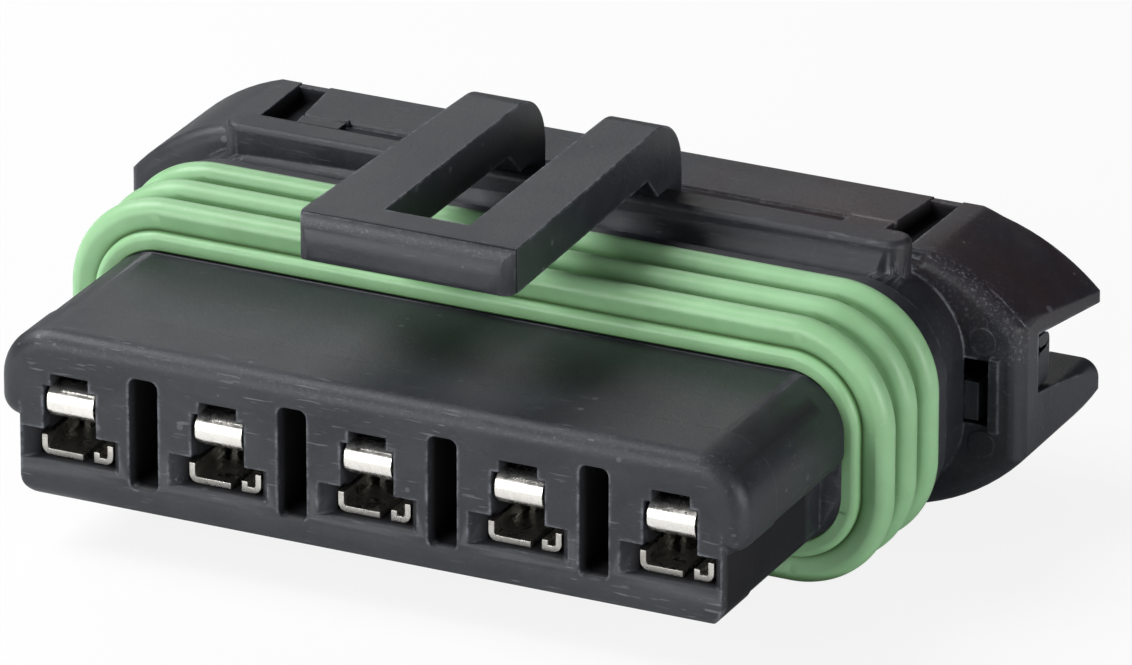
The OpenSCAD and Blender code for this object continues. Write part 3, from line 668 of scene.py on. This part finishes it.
def fillFace(shell, s):
    # the web between the cavities, flush with the face
    web = mergedCopy("housing", "faceWeb")
    along = (s["webFrom"], s["webFrom"] + s["webDepth"])
    combine(web, makeBlock("webTool", bothWays(s["webHalf"]), along, s["webZ"]), "INTERSECT")
    moveWhere(web, lambda v: v.y < s["webFrom"] + near, (0, -s["webFrom"], 0))
    combine(shell, web, "UNION")


def closeSlots(shell, s):
    for side in (-1, 1):
        for part in ("rim", "floor"):
            across = sorted(side * x for x in s[part + "X"])
            block = makeBlock(part + "Tool", across, s[part + "Y"], s[part + "Z"])
            combine(shell, block, "UNION")


def makeKeeper(s):
    # everything inside it stays: straight along the plate, then leaning out to the rear
    upDown = bothWays(s["wasteHigh"] + margin)
    keeper = makeBlock("keeper", bothWays(s["plateSide"]), (s["plateFront"], s["plateRear"]), upDown)
    editing(keeper)
    doneEditing()
    for edge in keeper.data.edges:
        first, last = [keeper.data.vertices[i].co / mm for i in edge.vertices]
        upright = abs(first.z - last.z) > margin
        edge.select = upright and max(first.y, last.y) < s["plateFront"] + near
    bpy.ops.object.mode_set(mode="EDIT")
    bpy.ops.mesh.select_mode(type="EDGE")
    bpy.ops.mesh.bevel(offset=s["columnRound"] * mm, segments=s["columnSteps"], affect="EDGES")
    bpy.ops.mesh.select_mode(type="FACE")
    bpy.ops.mesh.select_all(action="DESELECT")
    doneEditing()
    for face in keeper.data.polygons:
        corners = [keeper.data.vertices[i].co / mm for i in face.vertices]
        face.select = min(v.y for v in corners) > s["plateRear"] - near
    bpy.ops.object.mode_set(mode="EDIT")
    rearwards = (0, (s["rear"] - s["plateRear"] + 2 * past) * mm, 0)
    bpy.ops.mesh.extrude_region_move(TRANSFORM_OT_translate={"value": rearwards})
    wider = (s["rearSide"] / s["plateSide"], 1, 1)
    bpy.ops.transform.resize(value=wider, center_override=(0, 0, 0))
    doneEditing()
    return keeper


def trimSides(shell, s):
    # waste is all that lies outside the keeper, but nothing in front of the plate
    high = s["wasteHigh"]
    along = (s["plateFront"] - 3 * past, s["rear"] + past)
    waste = makeBlock("waste", bothWays(s["wasteHalf"]), along, bothWays(high))
    combine(waste, makeKeeper(s), "DIFFERENCE")
    along = (s["plateFront"] - margin, s["plateFront"] + near)
    front = makeBlock("frontTool", bothWays(s["frontHalf"]), along, bothWays(high + 2 * margin))
    combine(waste, front, "DIFFERENCE")
    combine(shell, waste, "DIFFERENCE")


def makeShell(s):
    shell = mergedCopy("housing", "housingShell")
    fillFace(shell, s)
    closeSlots(shell, s)
    trimSides(shell, s)
    finishPiece(shell, "housing", plastics["housing"])


sealSettings = {
    "centre": (16.85, 0, 1.65),     # where the corners' axes stand
    "corner": 44,                   # vertices round each corner
    "front": 11.3,
    "length": 6.8,
    "base": 4.0,                    # radius of the valleys
    "inner": 2.78,
    "chamfer": 0.15,
    "lip": 3.75,
    "lipEdge": 0.4,
    "lipWrap": 5,                   # degrees that the lip's round goes on past its side
    "lipSteps": 7,
    "lipSet": 0.25,                 # the lip stands this far in front of the first rib
    "groove": ((-0.02, 0.16), (0.08, 0.1)),     # fine groove: how far past the lip, out and back
    "ribs": 3,
    "rib": 5.25,
    "step": 2.55,
    "crest": 0.72,
    "crestSteps": 14,
    "foot": ((0.02, 0.42), (0.1, 0.15), (0.28, 0.02)),  # a rib's foot: above the valley, off the rib
    "smooth": 60,
}


def arcPoints(centre, radius, start, end, count):
    angles = [radians(start + (end - start) * k / count) for k in range(count + 1)]
    return [(centre[0] + radius * cos(a), centre[1] + radius * sin(a)) for a in angles]


def sealOutline(s):
    # radius from the corner's axis, and how far back from the seal's front
    lip, edge, crest = s["lip"], s["lipEdge"], s["crest"]
    points = [(s["inner"], s["chamfer"]), (s["inner"] + s["chamfer"], 0.0)]
    points += arcPoints((lip - edge, edge), edge, -90, s["lipWrap"], s["lipSteps"])
    points += [(lip + out, edge + back) for out, back in s["groove"]]
    for k in range(s["ribs"]):
        middle = s["lipSet"] + crest + k * s["step"]
        if k:
            points += [(s["base"] + up, middle - crest - off) for up, off in s["foot"]]
        points += arcPoints((s["rib"] - crest, middle), crest, -90, 90, s["crestSteps"])
        if k < s["ribs"] - 1:
            points += [(s["base"] + up, middle + crest + off) for up, off in reversed(s["foot"])]
    points += [(s["inner"], s["length"])]
    return points


def makeSealPath(s):
    # a circle, pulled apart along X and along Z
    steps = 4 * s["corner"]
    upright = (radians(90), radians(180 / steps), 0)
    bpy.ops.object.select_all(action="DESELECT")
    bpy.ops.mesh.primitive_circle_add(vertices=steps, radius=s["base"] * mm, rotation=upright)
    path = bpy.context.object
    path.name = "sealPath"
    bpy.ops.object.transform_apply(location=True, rotation=True, scale=True)
    for axis in (0, 2):
        for side in (-1, 1):
            by = [0, 0, 0]
            by[axis] = side * s["centre"][axis]
            moveWhere(path, lambda v: side * v[axis] > 0, by)
    activate(path)
    bpy.ops.object.convert(target="CURVE")
    return path


def makeSealSection(s):
    outline = sealOutline(s)
    curve = bpy.data.curves.new("sealSection", "CURVE")
    spline = curve.splines.new("POLY")
    spline.points.add(len(outline) - 1)
    for point, (r, y) in zip(spline.points, outline):
        point.co = (-y * mm, (r - s["base"]) * mm, 0, 1)
    spline.use_cyclic_u = True
    section = bpy.data.objects.new("sealSection", curve)
    bpy.context.scene.collection.objects.link(section)
    return section


def makeSeal(s):
    path = makeSealPath(s)
    section = makeSealSection(s)
    path.data.dimensions = "3D"
    path.data.bevel_mode = "OBJECT"
    path.data.bevel_object = section
    activate(path)
    bpy.ops.object.convert(target="MESH")
    bpy.data.objects.remove(section)
    ring = bpy.context.object
    ring.name = "sealRing"
    moveWhere(ring, lambda v: True, (0, s["front"], 0))
    finishPiece(ring, "interface_seal", silicone, s["smooth"])


retainerSettings = {
    "lugX": 22.8,               # the lugs lie further out than this
    "lugY": (25.0, 25.9),       # and their rear faces here, in front of the slab's rear face
    "lugLonger": 0.65,
    "lugSide": 24.0,
    "lugIn": 0.3,
}


def makeRetainer(s):
    retainer = mergedCopy("seal_retainer", "cableRetainer")
    low, high = s["lugY"]
    for side in (-1, 1):
        moveWhere(retainer, lambda v: side * v.x > s["lugX"] and low < v.y < high, (0, s["lugLonger"], 0))
        moveWhere(retainer, lambda v: side * v.x > s["lugSide"], (-side * s["lugIn"], 0, 0))
    finishPiece(retainer, "seal_retainer", plastics["seal_retainer"])


leverSettings = {
    "gapHalf": 2.25,            # the two arms stand apart all the way back from the bar
    "gapY": (6.65, 27.0),
    "gapZ": (5.0, 12.0),
    "barRear": 6.5,
    "barWider": 0.3,            # the bar reaches a little further to the left than the arms do
    "edge": 0.28,
    "edgeSteps": 3,
    "edgeAngle": 50,
}


def makeLever(s):
    lever = mergedCopy("lock_lever", "lockLever")
    gap = makeBlock("gapTool", bothWays(s["gapHalf"]), s["gapY"], s["gapZ"])
    combine(lever, gap, "DIFFERENCE")
    left = -s["gapHalf"] - margin
    moveWhere(lever, lambda v: v.x < left and v.y < s["barRear"], (-s["barWider"], 0, 0))
    joinFlatFaces(lever)
    soften = lever.modifiers.new("soften", "BEVEL")
    soften.width = s["edge"] * mm
    soften.segments = s["edgeSteps"]
    soften.limit_method = "ANGLE"
    soften.angle_limit = radians(s["edgeAngle"])
    bpy.ops.object.modifier_apply(modifier=soften.name)
    finishPiece(lever, "lock_lever", plastics["lock_lever"], body="lever")


makeShell(shellSettings)
makeSeal(sealSettings)
makeRetainer(retainerSettings)
makeLever(leverSettings)


floorSettings = {
    "size": 1.2,
    "below": 0.02 * mm,         # so that nothing touches it
    "colour": (0.9, 0.9, 0.9, 1),
    "rough": 0.9,
    "glow": 0.86,               # how far it looks white by itself
}


def makeFloor(s):
    bpy.ops.object.select_all(action="DESELECT")
    bpy.ops.mesh.primitive_plane_add(size=s["size"], location=(0, 0, cadBox[0][2] - s["below"]))
    floor = bpy.context.object
    floor.name = "floor"
    material, tree, shader = newMaterial("floorPaint")
    shader.inputs["Base Color"].default_value = s["colour"]
    shader.inputs["Roughness"].default_value = s["rough"]
    seen = addNode(tree, "LightPath").outputs["Is Camera Ray"]
    white = addNode(tree, "Emission").outputs[0]
    glow = maths(tree, "MULTIPLY", seen, s["glow"])
    mix = addNode(tree, "MixShader", None, {0: glow, 1: shader.outputs[0], 2: white})
    tree.links.new(mix.outputs[0], tree.nodes["Material Output"].inputs[0])
    dress(floor, material)


worldSettings = {
    "ambient": 0.55,
    "seen": 1.0,
}


def makeWorld(s):
    world = bpy.data.worlds.new("world")
    bpy.context.scene.world = world
    world.use_nodes = True
    tree = world.node_tree
    seen = addNode(tree, "LightPath").outputs["Is Camera Ray"]
    strength = remap(tree, seen, 0.0, 1.0, s["ambient"], s["seen"])
    tree.links.new(strength, tree.nodes["Background"].inputs["Strength"])


makeFloor(floorSettings)
makeWorld(worldSettings)
makeLights(lightSettings)
makeCamera(cameraSettings)
bpy.context.scene.view_settings.view_transform = "Standard"
print("stage: surroundings made")
